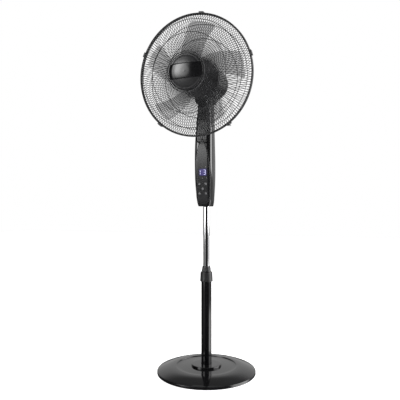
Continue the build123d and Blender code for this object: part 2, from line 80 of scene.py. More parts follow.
# %% Sockets as numbers
def link_or_set(tree, socket, value):
    """Links a wrapped output into a socket, or sets a plain value on it."""
    if isinstance(value, Wire):
        tree.links.new(value.socket, socket)
    elif hasattr(socket.default_value, "__len__") and not hasattr(value, "__len__"):
        socket.default_value = [value] * len(socket.default_value)
    else:
        socket.default_value = value


class Wire:
    """A shader output that takes part in Python arithmetic."""

    def __init__(self, tree, socket):
        self.tree = tree
        self.socket = socket

    def maths(self, operation, *values):
        node = self.tree.nodes.new("ShaderNodeMath")
        node.operation = operation
        for socket, value in zip(node.inputs, values):
            link_or_set(self.tree, socket, value)
        return Wire(self.tree, node.outputs[0])

    def __add__(self, other):
        return self.maths("ADD", self, other)

    def __radd__(self, other):
        return self.maths("ADD", other, self)

    def __sub__(self, other):
        return self.maths("SUBTRACT", self, other)

    def __rsub__(self, other):
        return self.maths("SUBTRACT", other, self)

    def __mul__(self, other):
        return self.maths("MULTIPLY", self, other)

    def __rmul__(self, other):
        return self.maths("MULTIPLY", other, self)

    def above(self, edge):
        return self.maths("GREATER_THAN", self, edge)

    def below(self, edge):
        return self.maths("LESS_THAN", self, edge)

    def step(self, low, high):
        """0 under low, 1 over high and a smooth ramp between them."""
        node = self.tree.nodes.new("ShaderNodeMapRange")
        node.interpolation_type = "SMOOTHSTEP"
        link_or_set(self.tree, node.inputs["Value"], self)
        node.inputs["From Min"].default_value = low
        node.inputs["From Max"].default_value = high
        return Wire(self.tree, node.outputs[0])


class Finish:
    """A material whose nodes are added one call at a time."""

    def __init__(self, name, **constants):
        self.material = bpy.data.materials.new(name)
        self.material.use_nodes = True
        self.tree = self.material.node_tree
        self.shader = self.tree.nodes["Principled BSDF"]
        for socket, value in constants.items():
            self.shader.inputs[socket.replace("_", " ")].default_value = value

    def node(self, kind, settings=None, out=0, **values):
        """Adds a node, applies its settings, then fills its sockets by name."""
        node = self.tree.nodes.new(kind)
        for key, value in (settings or {}).items():
            setattr(node, key, value)
        for key, value in values.items():
            link_or_set(self.tree, node.inputs[key.replace("_", " ")], value)
        return Wire(self.tree, node.outputs[out])

    def place(self):
        return self.node("ShaderNodeTexCoord", out="Object")

    def axis(self, which):
        node = self.tree.nodes.new("ShaderNodeSeparateXYZ")
        self.tree.links.new(self.place().socket, node.inputs[0])
        return Wire(self.tree, node.outputs[which])

    def cloud(self, scale, detail=3.0):
        return self.node("ShaderNodeTexNoise", Vector=self.place(), Scale=scale, Detail=detail)

    def mix(self, factor, first, second):
        node = self.tree.nodes.new("ShaderNodeMix")
        node.data_type = "RGBA"
        link_or_set(self.tree, node.inputs[0], factor)
        for socket, value in ((node.inputs[6], first), (node.inputs[7], second)):
            link_or_set(self.tree, socket, value if isinstance(value, Wire) else (*value, 1.0))
        return Wire(self.tree, node.outputs[2])

    def feed(self, **links):
        for key, value in links.items():
            link_or_set(self.tree, self.shader.inputs[key.replace("_", " ")], value)

    def bump(self, height, strength, distance):
        bumped = self.node("ShaderNodeBump", Height=height, Strength=strength, Distance=distance)
        self.feed(Normal=bumped)
        return self.material


def shade(value, amount):
    """A colour made lighter or darker by a share."""
    return tuple(min(1.0, c * amount) for c in value)


print("shader wrapper ready")

# %% [markdown]
# ## Finishes
# Almost everything on this fan is one of a few finishes. Piano-black ABS is nearly black with a hard
# clear gloss; up close it has a faint orange peel and some dust that dulls it in patches. Moulded
# satin parts have a fine spark-eroded grain. The tube is chrome plate, the guard is coated wire, and
# the blades are a smoke-tinted clear plastic that lets about two thirds of the light through.

# %% Finish recipes
def gloss_black(name, colour, rough=0.06, peel=0.012):
    """Glossy moulded plastic: near-black body, dust clouds that dull the gloss, orange peel."""
    finish = Finish(name, IOR=1.5)
    dust = finish.cloud(9.0).step(0.45, 0.8)
    specks = finish.cloud(420.0, 1.0).step(0.68, 0.8)
    finish.feed(
        Base_Color=finish.mix(0.5 * dust + 0.4 * specks, colour, shade(colour, 1.9)),
        Roughness=rough + 0.05 * dust + 0.1 * specks,
    )
    return finish.bump(finish.cloud(260.0, 2.0), peel, 0.001)


def satin_black(name, colour, rough=0.42, grain=1600.0):
    """Moulded satin plastic: spark-eroded grain and a slight polish in patches."""
    finish = Finish(name, IOR=1.48)
    patch = finish.cloud(14.0)
    finish.feed(
        Base_Color=finish.mix(patch, colour, shade(colour, 1.6)),
        Roughness=rough - 0.12 * patch,
    )
    return finish.bump(finish.cloud(grain, 2.0), 0.18, 0.0004)


def plated(name, colour, rough=0.05, lines=0.0):
    """Plated or polished metal: mirror-like, with faint drawing lines along the part."""
    finish = Finish(name, Metallic=1.0)
    haze = finish.cloud(25.0)
    stretched = finish.node("ShaderNodeMapping", Vector=finish.place(), Scale=(900.0, 900.0, 12.0))
    drawn = finish.node("ShaderNodeTexNoise", Vector=stretched, Scale=1.0, Detail=2.0)
    finish.feed(
        Base_Color=finish.mix(haze, colour, shade(colour, 0.9)),
        Roughness=rough + 0.06 * haze + lines * drawn,
    )
    return finish.bump(drawn, 0.02 + lines, 0.0004)


def grained(name, colour, other, scale, rough, metal=0.0, bump=0.2):
    """Cast, pressed or moulded stock: two tones in a grain of a given size."""
    finish = Finish(name, Metallic=metal)
    grain = finish.cloud(scale, 5.0)
    broad = finish.cloud(scale / 12.0, 2.0)
    finish.feed(
        Base_Color=finish.mix(0.6 * grain + 0.4 * broad, colour, other),
        Roughness=rough + 0.18 * grain - 0.06 * broad,
    )
    return finish.bump(grain, bump, 0.0006)


finishes = {
    "gloss_black": gloss_black("piano_black", (0.006, 0.006, 0.0065)),
    "black_tube": gloss_black("lacquered_tube", (0.004, 0.004, 0.0045), rough=0.09, peel=0.02),
    "satin_black": satin_black("satin_moulding", (0.012, 0.012, 0.0125)),
    "chrome_tube": plated("chrome_plate", (0.74, 0.74, 0.75), rough=0.07),
    "wire_black": satin_black("coated_wire", (0.02, 0.02, 0.021), rough=0.36, grain=900.0),
    "rubber_black": grained("moulded_rubber", (0.01, 0.01, 0.01), (0.03, 0.03, 0.03), 500.0, 0.75),
    "iron_weight": grained("cast_weight", (0.05, 0.05, 0.05), (0.14, 0.13, 0.12), 160.0, 0.6, bump=0.6),
    "steel_plate": grained("zinc_plate", (0.42, 0.43, 0.45), (0.62, 0.62, 0.6), 220.0, 0.3, 1.0),
    "bearing_brass": grained("sintered_bronze", (0.4, 0.25, 0.1), (0.6, 0.42, 0.2), 900.0, 0.45, 1.0),
    "nylon_white": grained("natural_nylon", (0.62, 0.6, 0.54), (0.75, 0.73, 0.68), 300.0, 0.4),
    "motor_cast": grained("die_casting", (0.38, 0.39, 0.4), (0.58, 0.58, 0.58), 260.0, 0.45, 1.0),
    "light_white": grained("light_pipe", (0.6, 0.6, 0.63), (0.8, 0.8, 0.82), 700.0, 0.2, bump=0.05),
    "key_grey": grained("key_cap", (0.09, 0.09, 0.095), (0.14, 0.14, 0.145), 900.0, 0.35, bump=0.08),
}
print("finishes:", ", ".join(sorted(finishes)))

# %% [markdown]
# Four finishes need a pattern of their own: the stacked sheets of the motor's laminations, the
# copper windings with their round wires, the circuit boards with tracks, and the blades, which are
# see-through and a little streaked where the plastic flowed in the mould.

# %% Patterned finishes
def laminations():
    """Thin steel sheets seen on edge: fine stripes along the motor's axis."""
    finish = Finish("laminations", Metallic=0.9)
    stripe = (finish.axis(1) * 9000.0).maths("SINE", finish.axis(1) * 9000.0)
    rust = finish.cloud(60.0)
    finish.feed(
        Base_Color=finish.mix(rust, (0.16, 0.15, 0.14), (0.3, 0.29, 0.28)),
        Roughness=0.45 + 0.15 * rust,
    )
    return finish.bump(stripe, 0.25, 0.0003)


def windings():
    """Enamelled copper: round wires side by side, told apart by a wave bump."""
    finish = Finish("copper_windings", Metallic=0.85)
    waves = finish.node("ShaderNodeTexWave", Vector=finish.place(), Scale=420.0, Distortion=2.0)
    finish.feed(
        Base_Color=finish.mix(waves, (0.3, 0.1, 0.03), (0.7, 0.33, 0.14)),
        Roughness=0.25 + 0.2 * waves,
    )
    return finish.bump(waves, 0.6, 0.0006)


def circuit_board():
    """Solder mask over copper tracks: a darker green between lighter lines."""
    finish = Finish("circuit_board")
    cells = finish.node(
        "ShaderNodeTexBrick", Vector=finish.place(), Scale=60.0, Color1=(1, 1, 1, 1),
        Color2=(0.2, 0.2, 0.2, 1), Mortar=(0, 0, 0, 1),
    )
    mask = finish.mix(cells, (0.005, 0.05, 0.015), (0.02, 0.16, 0.06))
    finish.feed(Base_Color=mask, Roughness=0.3 + 0.2 * finish.cloud(80.0))
    return finish.bump(finish.cloud(500.0), 0.1, 0.0003)


def smoke_blade():
    """Smoke-tinted clear plastic: dark, glossy, about two thirds see-through, with flow streaks."""
    finish = Finish("smoke_blade", IOR=1.49)
    streak = finish.cloud(22.0, 4.0)
    finish.feed(
        Base_Color=finish.mix(streak, (0.05, 0.05, 0.052), (0.085, 0.085, 0.088)),
        Roughness=0.12 + 0.12 * streak,
        Alpha=0.3 + 0.06 * streak,
    )
    return finish.bump(streak, 0.04, 0.002)


finishes["lamination"] = laminations()
finishes["copper_wire"] = windings()
finishes["board_green"] = circuit_board()
finishes["smoke_blade"] = smoke_blade()
print("patterned finishes ready")

# %% [markdown]
# ## Carried-over CAD parts
# Every CAD node keeps its shape and takes the finish of its material slot. The ones that are made
# again below are hidden later, when their new piece says that it replaces them.

# %% Dress the CAD nodes
slot_of = {part["node"]: part["material_slot"] for part in frame["record"]["subparts"]}
finishes["panel_black"] = gloss_black("panel_gloss", (0.008, 0.008, 0.009), rough=0.27, peel=0.008)
finishes["display_tint"] = gloss_black("display_window", (0.02, 0.017, 0.05), rough=0.05, peel=0.004)
for node_name, node_object in frame["nodes"].items():
    node_object.data.materials.clear()
    node_object.data.materials.append(finishes[slot_of[node_name]])
print("dressed", len(frame["nodes"]), "CAD nodes")

# %% [markdown]
# ## Surfaces from arrays
# A surface is a grid of points: rows one way, columns the other. Where a direction closes on itself,
# such as round a tube, the last column joins the first. Points are worked out in millimetres in the
# frame they are easiest in, then a placing function turns them into world metres: `stand` for what
# stands upright, `head` for what tips with the head, and `axle` for what turns about the fan's axis.

# %% Grid helpers
PITCH = math.radians(4.5)
TILT_Z = 1012.0
AXLE_HEIGHT = 113.65
TURN = 2.0 * np.pi


def stand(points):
    """Millimetres in the upright frame to world metres."""
    return np.asarray(points, float) * 0.001


def head(points):
    """The head frame, tipped forward about the tilt axis."""
    x, y, z = np.moveaxis(np.asarray(points, float), -1, 0)
    y, z = y * math.cos(PITCH) - z * math.sin(PITCH), z * math.cos(PITCH) + y * math.sin(PITCH)
    return stand(np.stack([x, y, z + TILT_Z], -1))


def axle(points):
    """Across, up and forward of the swing axis, along the fan's own axis."""
    x, up, forward = np.moveaxis(np.asarray(points, float), -1, 0)
    return head(np.stack([x, -forward, up + AXLE_HEIGHT], -1))


def quads(rows, columns, wrap_rows=False, wrap_columns=True):
    """The four corners of every cell in a grid of points, counted row by row."""
    r = np.arange(rows if wrap_rows else rows - 1)
    c = np.arange(columns if wrap_columns else columns - 1)
    r, c = np.meshgrid(r, c, indexing="ij")
    r2, c2 = (r + 1) % rows, (c + 1) % columns
    cells = np.stack([r * columns + c, r * columns + c2, r2 * columns + c2, r2 * columns + c], -1)
    return cells.reshape(-1, 4)


def smooth_table(table, at):
    """A smooth curve through the rows of a table: cubic with slopes from each row's neighbours."""
    table = np.asarray(table, float)
    knots, values = table[:, 0], table[:, 1:]
    slopes = np.gradient(values, knots, axis=0)
    at = np.clip(np.asarray(at, float), knots[0], knots[-1])
    i = np.clip(np.searchsorted(knots, at, side="right") - 1, 0, len(knots) - 2)
    width = (knots[i + 1] - knots[i])[:, None]
    t = ((at - knots[i]) / (knots[i + 1] - knots[i]))[:, None]
    first = (2 * t**3 - 3 * t**2 + 1) * values[i] + (t**3 - 2 * t**2 + t) * width * slopes[i]
    return first + (3 * t**2 - 2 * t**3) * values[i + 1] + (t**3 - t**2) * width * slopes[i + 1]


def piece(name, body, slot, grids, place, nodes=(), sharp=35.0, material=None):
    """Joins grids of (points, cells) into one closed mesh that rides a body and replaces CAD nodes."""
    points, cells, start = [], [], 0
    for grid_points, grid_cells in grids:
        flat = np.asarray(grid_points, float).reshape(-1, 3)
        points.append(flat)
        cells.append(np.asarray(grid_cells) + start)
        start += len(flat)
    mesh = bpy.data.meshes.new(name)
    mesh.from_pydata(place(np.concatenate(points)), [], np.concatenate(cells).tolist())
    shape = bmesh.new()
    shape.from_mesh(mesh)
    bmesh.ops.remove_doubles(shape, verts=shape.verts, dist=2e-6)
    bmesh.ops.dissolve_degenerate(shape, edges=shape.edges, dist=1e-7)
    bmesh.ops.recalc_face_normals(shape, faces=shape.faces)
    shape.to_mesh(mesh)
    shape.free()
    mesh.shade_smooth()
    mesh.set_sharp_from_angle(angle=math.radians(sharp))
    mesh.materials.append(material or finishes[slot])
    made = bpy.data.objects.new(name, mesh)
    bpy.context.collection.objects.link(made)
    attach(made, body)
    if nodes:
        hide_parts(*nodes)
    print(name, len(mesh.polygons), "faces")
    return made


def polar(radius, angle, height):
    """Points from a radius, an angle and a height: radius times cosine and sine, then the height."""
    return np.stack([radius * np.cos(angle), radius * np.sin(angle), height + 0 * angle], -1)


def lathe(profile, steps=96):
    """A profile of (radius, height) points carried round the Z axis; ends at radius 0 close it."""
    profile = np.asarray(profile, float)
    angle = np.linspace(0, TURN, steps, endpoint=False)
    return polar(profile[:, :1], angle, profile[:, 1:]), quads(len(profile), steps, profile[0, 0] > 1e-6)


def bevelled(profile, size, steps=4):
    """Rounds the corners of a closed profile: each corner becomes a short quadratic curve."""
    profile = np.asarray(profile, float)
    before, after = np.roll(profile, 1, 0) - profile, np.roll(profile, -1, 0) - profile
    reach = np.minimum(size, 0.45 * np.minimum(np.hypot(*before.T), np.hypot(*after.T)))[:, None]
    start = profile + before / np.hypot(*before.T)[:, None] * reach
    end = profile + after / np.hypot(*after.T)[:, None] * reach
    t = np.linspace(0, 1, steps)[None, :, None]
    curve = (1 - t) ** 2 * start[:, None] + 2 * t * (1 - t) * profile[:, None] + t**2 * end[:, None]
    return curve.reshape(-1, 2)


print("grid helpers ready")

# %% [markdown]
# ## Base
# The base is a weighted disc under a glossy moulded cover. The cover's rim is nearly vertical, then
# a shallow dome rises to a crown line with a small step inside it, which throws the thin bright ring
# on a glossy base. A turned profile is all it needs, but the profile has to be fine, because a
# reflection on gloss shows every corner.

# %% Base cover and trim
TUBE_R, TUBE_WALL, TUBE_TOP = 20.0, 1.2, 372.0
ROD_R, ROD_WALL = 12.5, 1.1


def arc(centre, radius, start, end, steps=10):
    """Points on an arc of a circle, angles in degrees."""
    angle = np.radians(np.linspace(start, end, steps))
    return np.stack([centre[0] + radius * np.cos(angle), centre[1] + radius * np.sin(angle)], -1)


DOME_OUT, DOME_IN, DOME_LOW, DOME_RISE = 186.0, 117.0, 12.6, 15.4
dome_r = np.linspace(DOME_OUT - 0.5, DOME_IN + 1.5, 40)
dome_share = (DOME_OUT - dome_r) / (DOME_OUT - DOME_IN)
dome = np.stack([dome_r, DOME_LOW + DOME_RISE * np.sin(dome_share * np.pi / 2) ** 0.92], -1)
cover_profile = np.concatenate([
    [(187.2, 1.2), (189.0, 1.0)],
    arc((188.6, 2.4), 1.4, -60, 0, 5),
    arc((187.4, 9.2), 2.6, 0, 62, 8),
    dome,
    arc((116.8, 26.4), 1.5, 80, 180, 8),
    [(115.0, 25.6), (113.2, 25.3), (100.0, 25.6), (80.0, 26.2), (60.0, 26.8)],
    [(52.0, 27.0), (52.0, 24.0)],
    [(80.0, 23.2), (113.0, 22.6), (140.0, 20.0), (170.0, 13.5), (184.0, 9.8), (187.0, 7.0)],
])
piece("glossy_base_cover", "stand", "gloss_black", [lathe(cover_profile, 192)], stand, ["base_cover"],
      sharp=50)
trim_profile = np.concatenate([
    [(55.2, 27.2), (58.0, 27.2)],
    arc((56.0, 32.0), 2.0, 0, 90, 8),
    [(40.0, 34.0), (24.0, 34.0)],
    arc((TUBE_R + 1.6, 32.9), 1.1, 90, 180, 6),
    [(TUBE_R + 0.5, 31.2), (55.0, 31.0)],
])
piece("pole_boss", "stand", "gloss_black", [lathe(trim_profile, 128)], stand, ["pole_trim"], sharp=50)

# %% [markdown]
# ## Pole, grip and lock ring
# The outer tube is lacquered, the inner one is chrome. The grip is a tapered moulding pressed onto
# the tube, and the lock ring above it has shallow flutes for the fingers. Flutes are a turned
# surface whose radius dips with the angle, so one formula gives all twelve.

# %% Tubes
tube_in = TUBE_R - TUBE_WALL
tube_profile = bevelled([(TUBE_R, 17.0), (TUBE_R, TUBE_TOP), (tube_in, TUBE_TOP), (tube_in, 17.0)], 0.3)
piece("lower_tube", "stand", "black_tube", [lathe(tube_profile, 128)], stand, ["outer_tube"])
rod_in = ROD_R - ROD_WALL
rod_profile = bevelled([(ROD_R, 232.0), (ROD_R, 685.0), (rod_in, 685.0), (rod_in, 232.0)], 0.3)
piece("bright_tube", "riser", "chrome_tube", [lathe(rod_profile, 128)], stand, ["inner_tube"])

# %% Grip and lock ring
grip_profile = np.concatenate([
    [(TUBE_R + 0.1, 352.2), (23.9, 352.2)],
    arc((23.8, 353.2), 1.0, -90, 0, 6),
    [(24.5, 358.0), (23.7, 374.0), (23.1, 385.0)],
    arc((21.8, 387.7), 1.2, 10, 90, 6),
    [(15.4, 388.9), (15.3, 398.0), (14.4, 398.0), (14.4, TUBE_TOP + 0.2), (TUBE_R + 0.1, TUBE_TOP)],
])
piece("tube_grip", "stand", "satin_black", [lathe(grip_profile, 128)], stand, ["tube_sleeve"])
FLUTES = 12
ring_z = np.array([389.6, 389.9, 391.2, 393.0, 397.0, 402.0, 407.0, 409.6, 410.6, 410.9])
ring_r = np.array([17.6, 18.1, 18.3, 18.0, 17.4, 16.7, 16.1, 15.7, 15.2, 14.4])
ring_depth = 0.8 * np.sin(np.pi * np.clip((ring_z - 390) / 19.0, 0, 1)) ** 0.5
around = np.linspace(0, TURN, 240, endpoint=False)
dip = np.clip(np.cos(FLUTES * around), 0, 1) ** 2
ring_outside = polar(ring_r[:, None] - ring_depth[:, None] * dip, around, ring_z[:, None])
bore_z = np.array([410.9, 407.0, 406.0, 399.0, 398.5, 389.6])
bore_r = np.array([12.95, 12.95, 14.2, 15.0, 15.5, 15.5])
ring_inside = polar(bore_r[:, None], around, bore_z[:, None])
ring_points = np.concatenate([ring_outside, ring_inside])
piece("fluted_lock_ring", "lock", "satin_black",
      [(ring_points, quads(len(ring_points), len(around), wrap_rows=True))], stand, ["lock_ring"], sharp=50)

# %% [markdown]
# ## Control column
# The column is a rounded box that swells and tapers along its height. A table gives its half width,
# front, back and corner radius at ten heights; a smooth curve through the table gives every height
# between. At the top it turns into a round saddle that the tilting neck rides over. A fine groove
# runs down each side where the two shells meet.

# %% Column surface
COLUMN = [
    (642.0, 24.5, -30.5, 19.5, 8.0),
    (656.0, 28.0, -33.5, 18.5, 9.0),
    (686.0, 32.3, -37.0, 17.5, 14.0),
    (728.0, 35.3, -41.5, 18.0, 16.0),
    (800.0, 36.0, -46.5, 19.0, 16.0),
    (880.0, 35.2, -45.5, 16.5, 16.0),
    (938.0, 33.3, -40.5, 16.5, 15.0),
    (977.0, 30.8, -37.5, 19.0, 13.0),
    (1016.0, 27.3, -34.2, 27.0, 9.0),
    (1050.0, 26.0, -33.5, 28.5, 9.0),
]
SEAM_Y, SEAM_DEPTH = -8.0, 0.5
BULGE = 0.055
SADDLE_R, SADDLE_GAP = 35.0, 1.0


def rounded_box(half, front, back, corner, grooved=False):
    """A ring round a box with rounded corners, one row per height, with a seam groove on its sides.

    The sides bow out a little: the width falls off with the square of the distance from mid depth.
    """
    turn = np.radians(np.linspace(0, 90, 9))
    rings_x, rings_y = [], []
    for sx, sy, start in ((1, -1, -90), (1, 1, 0), (-1, 1, 90), (-1, -1, 180)):
        edge = back if sy > 0 else front
        angle = turn + math.radians(start)
        rings_x.append((sx * (half - corner))[:, None] + corner[:, None] * np.cos(angle))
        rings_y.append((edge - sy * corner)[:, None] + corner[:, None] * np.sin(angle))
        if start in (-90, 90):
            low = (front + corner)[:, None] if sx > 0 else (back - corner)[:, None]
            high = (back - corner)[:, None] if sx > 0 else (front + corner)[:, None]
            groove = np.array([-6.0, -1.0, -0.45, 0.0, 0.45, 1.0, 6.0]) * sx
            middle = np.full_like(low, SEAM_Y) if grooved else (low + high) / 2
            share = np.linspace(0.1, 0.9, 7)
            before = low + (middle + groove[0] - low) * share
            after = middle + groove[-1] + (high - middle - groove[-1]) * share
            rings_y.append(np.concatenate([before, middle + groove, after], 1))
            inward = np.zeros(21)
            inward[10] = SEAM_DEPTH * grooved
            rings_x.append(sx * (half[:, None] - inward))
        else:
            t = np.linspace(0.12, 0.88, 7)
            rings_x.append(sx * (half - corner)[:, None] * (1 - 2 * t))
            rings_y.append(edge[:, None] + 0 * t)
    ring_x, ring_y = np.concatenate(rings_x, 1), np.concatenate(rings_y, 1)
    depth = (2 * ring_y - (front + back)[:, None]) / (back - front)[:, None]
    return ring_x * (1 - BULGE * depth**2), ring_y


def saddle_top(z, y, radius):
    """Heights cut off by a cylinder lying along the tilt axis."""
    inside = np.sqrt(np.maximum(radius**2 - y**2, 0.0))
    return np.minimum(z, TILT_Z + inside)


foot_z = [642.0, 642.0, 642.4, 643.2, 644.6]
foot_inset = [30.0, 1.8, 0.9, 0.3, 0.05]
heights = np.concatenate([foot_z, np.linspace(647, 1010, 92), np.linspace(1014, 1047, 16)])
inset = np.concatenate([foot_inset, np.zeros(len(heights) - len(foot_inset))])
half, front, rear, corner = smooth_table(COLUMN, heights).T
ring_x, ring_y = rounded_box(half, front, rear, corner, grooved=True)
shrink = np.clip(1 - inset / half, 0, 1)[:, None]
middle = ((front + rear) / 2)[:, None]
shell = np.stack([ring_x * shrink, middle + (ring_y - middle) * shrink,
                  saddle_top(heights[:, None], ring_y, SADDLE_R)], -1)
lid = [shell[-1] * [f, 1, 1] for f in (0.9, 0.5, 0.0)]
shell = np.concatenate([shell, lid])
shell[0] = polar(ROD_R + 0.2, np.arctan2(shell[0, :, 1], shell[0, :, 0]), shell[0, :, 2])
well = shell[0] + [0, 0, 3.0]
plug = well * [0, 0, 1]
shell = np.concatenate([[plug, well], shell])
piece("column_housing", "riser", "gloss_black", [(shell, quads(len(shell), shell.shape[1]))], stand,
      ["column_front", "column_rear"], sharp=40)

# %% [markdown]
# ## Control panel
# The panel is a thin leaf with a pointed top, let into the column's front and standing a little
# proud of it. It is a strip of rows that follows the column's front face, with an edge that rolls
# back into the column. A thin matt strip round it, moved out along the outline's normal, is painted
# shade: it stands for the shade down in the gap between the two mouldings.

# %% Panel leaf
# height, half width
LEAF = [
    (654.5, 2.0), (656.0, 12.0), (659.0, 19.0), (665.0, 23.6), (700.0, 28.3), (740.0, 30.8),
    (780.0, 30.0), (825.0, 25.0), (862.0, 17.5), (884.0, 9.0), (900.0, 0.05),
]
PANEL_LIFT, PANEL_ROLL = 0.8, 2.2


def front_surface(x, z, lift=0.0):
    """The column's front at a point: flat in the middle, then round at its corners."""
    half, front, rear, corner = smooth_table(COLUMN, np.ravel(z)).T.reshape(4, *np.shape(z))
    over = np.clip(np.abs(x) - (half - corner), 0, corner)
    return front + corner - np.sqrt(corner**2 - over**2) - lift


leaf_z = np.concatenate([np.linspace(654.5, 668, 14), np.linspace(672, 890, 90), np.linspace(891, 900, 8)])
leaf_w = smooth_table(LEAF, leaf_z)[:, 0]
across = np.sin(np.linspace(-np.pi / 2, np.pi / 2, 33))
rise = np.array([-1.2, -0.2, 0.3, 0.62])
narrow = np.array([0.0, 0.0, 0.5, 1.3])
panel_x = (leaf_w[:, None] - PANEL_ROLL).clip(0.01) * across
panel_z = leaf_z[:, None] + 0 * panel_x
edge_x = -(leaf_w[:, None] - narrow).clip(0.01)
edge_z = leaf_z[:, None] + 0 * edge_x
left = np.stack([edge_x, front_surface(edge_x, edge_z, rise), edge_z], -1)
face = np.stack([panel_x, front_surface(panel_x, panel_z, PANEL_LIFT), panel_z], -1)
leaf_grid = np.concatenate([left, face, (left * [-1, 1, 1])[:, ::-1]], 1)
piece("arched_panel", "riser", "panel_black",
      [(leaf_grid, quads(*leaf_grid.shape[:2], wrap_columns=True))], stand, ["control_panel"], sharp=60)

# %% Painted shade strip round the panel
gap_half = np.concatenate([leaf_w[::-1], -leaf_w])
gap_z = np.concatenate([leaf_z[::-1], leaf_z])
gap_step = np.gradient(np.stack([gap_half, gap_z], -1), axis=0)
gap_out = np.stack([gap_step[:, 1], -gap_step[:, 0]], -1) / np.hypot(*gap_step.T)[:, None]
gap_rows = []
GAP_WIDTH, GAP_LIFT, GAP_SUNK = 1.3, 0.06, -0.6
for reach, lift in ((-0.2, GAP_SUNK), (-0.2, GAP_LIFT), (GAP_WIDTH, GAP_LIFT), (GAP_WIDTH, GAP_SUNK)):
    x, z = gap_half - reach * gap_out[:, 0], gap_z - reach * gap_out[:, 1]
    gap_rows.append(np.stack([x, front_surface(x, z, lift), z], -1))
gap_shade_grid = np.stack(gap_rows, 1)
# This dark matt strip is painted shade: it stands for the shade in the gap between panel and column.
piece("panel_gap_shade_strip", "riser", "rubber_black", [(gap_shade_grid, quads(*gap_shade_grid.shape[:2], wrap_rows=True))], stand)

# %% [markdown]
# ## Display, lights and keys
# The window is a shallow tinted slab that follows the column's front. A smaller plate on it glows
# violet, and on that stand two seven-segment digits, each segment a small six-sided plate. The keys
# are low domes, each on its own body so that it can be pressed.

# %% Display window
def glow(name, colour, strength, base):
    """A lit plastic: an emission that varies a little over the surface."""
    finish = Finish(name, Emission_Strength=strength, Roughness=0.25)
    haze = finish.cloud(90.0)
    finish.feed(Base_Color=finish.mix(haze, base, shade(base, 1.4)),
                Emission_Color=finish.mix(haze, colour, shade(colour, 0.8)))
    return finish.material


def slab(x0, x1, z0, z1, lift_low, lift_high, columns=9, rows=7):
    """A thin plate that follows the column's front between two lifts."""
    x = np.linspace(x0, x1, columns)[None, :] + np.zeros((rows, 1))
    z = np.linspace(z0, z1, rows)[:, None] + np.zeros((1, columns))
    top = np.stack([x, front_surface(x, z, lift_high), z], -1)
    bottom = np.stack([x, front_surface(x, z, lift_low), z], -1)[:, ::-1]
    return np.concatenate([top, bottom], 1), rows, 2 * columns


violet = glow("violet_backlight", (0.04, 0.03, 0.15), 1.0, (0.012, 0.01, 0.03))
white_glow = glow("digit_glow", (0.45, 0.45, 0.75), 1.1, (0.3, 0.3, 0.35))
dim_glow = glow("light_glow", (0.5, 0.52, 0.5), 0.18, (0.2, 0.2, 0.2))
window_grid, rows, columns = slab(-14.0, 20.0, 757.5, 784.5, -1.0, 0.95)
window_end = quads(2, columns // 2, wrap_columns=False)
piece("display_window", "riser", "display_tint", [
    (window_grid, quads(rows, columns)),
    (window_grid[0].reshape(2, -1, 3), window_end),
    (window_grid[-1].reshape(2, -1, 3), window_end),
], stand, ["display_lens"], sharp=40)
glow_grid, rows, columns = slab(-9.5, 15.5, 759.0, 783.5, 0.9, 1.02)
piece("lit_window", "riser", "display_tint", [(glow_grid, quads(rows, columns))], stand, material=violet)

# %% Digits
SEGMENTS = {"a": (0, 1, 0), "b": (1, 0.5, 1), "c": (1, -0.5, 1), "d": (0, -1, 0), "e": (-1, -0.5, 1),
            "f": (-1, 0.5, 1), "g": (0, 0, 0)}


def segment(cx, cz, upright, length=7.2, thick=1.9):
    """A long hexagon, flat or upright, as a closed prism on the column's front."""
    outline = np.array([(-0.5, 0), (-0.4, 0.5), (0.4, 0.5), (0.5, 0), (0.4, -0.5), (-0.4, -0.5)])
    outline = outline * [length, thick]
    if upright:
        outline = outline[:, ::-1] * [1, -1]
    x, z = cx + outline[:, 0], cz + outline[:, 1]
    layers = [np.stack([x, front_surface(x, z, lift), z], -1) for lift in (1.0, 1.3)]
    tip = layers[1].mean(0) + np.zeros((6, 3))
    foot = layers[0].mean(0) + np.zeros((6, 3))
    return np.stack([foot, layers[0], layers[1], tip]), quads(4, 6)


DIGIT_W, DIGIT_H, DIGIT_Z = 8.6, 17.2, 771.0
digit_grids = []
for centre, lit in ((-3.6, "ef"), (9.9, "abgcd")):
    for name in lit:
        dx, dz, upright = SEGMENTS[name]
        digit_grids.append(segment(centre + dx * DIGIT_W / 2, DIGIT_Z + dz * DIGIT_H / 2, upright))
piece("lit_digits", "riser", "display_tint", digit_grids, stand, sharp=20, material=white_glow)

# %% Keys and lights
def button(x, z, radius, low, high, crown):
    """A round key on the column's front: a turned profile with a rounded edge and a low crown."""
    steps, round_off = np.linspace(0, np.pi / 2, 6), 0.6
    share = np.linspace(0.8, 0, 6)
    ring_r = np.concatenate([[0, radius], radius - round_off * (1 - np.cos(steps)), radius * share])
    edge = high - round_off * (1 - np.sin(steps))
    ring_h = np.concatenate([[low, low], edge, high + crown * (1 - share**2)])
    angle = np.linspace(0, TURN, 40, endpoint=False)
    level = float(front_surface(np.array([x]), np.array([z]))[0])
    slope = float(front_surface(np.array([x]), np.array([z + 5.0]))[0]) - level
    px, pz = ring_r[:, None] * np.cos(angle), ring_r[:, None] * np.sin(angle)
    return np.stack([x + px, level - ring_h[:, None] + slope * pz / 5.0, z + pz], -1), quads(len(ring_r), 40)


KEY_R, LIGHT_R = 4.5, 1.6
KEYS = {"key_power": (-13, 727.5), "key_swing": (13, 727.5), "key_mode": (0, 709),
        "key_timer": (-13, 691), "key_speed": (13, 691)}
LIGHTS = [(14.2, 790.5), (17.0, 749.0), (0.0, 749.0)]
for name, (x, z) in KEYS.items():
    piece(name + "_cap", name, "key_grey", [button(x, z, KEY_R, -3.6, 1.3, 0.25)], stand, [name])
lights = [button(x, z, LIGHT_R, -3.0, 0.85, 0.1) for x, z in LIGHTS]
piece("status_lights", "riser", "light_white", lights, stand, ["indicator_lights"], material=dim_glow)

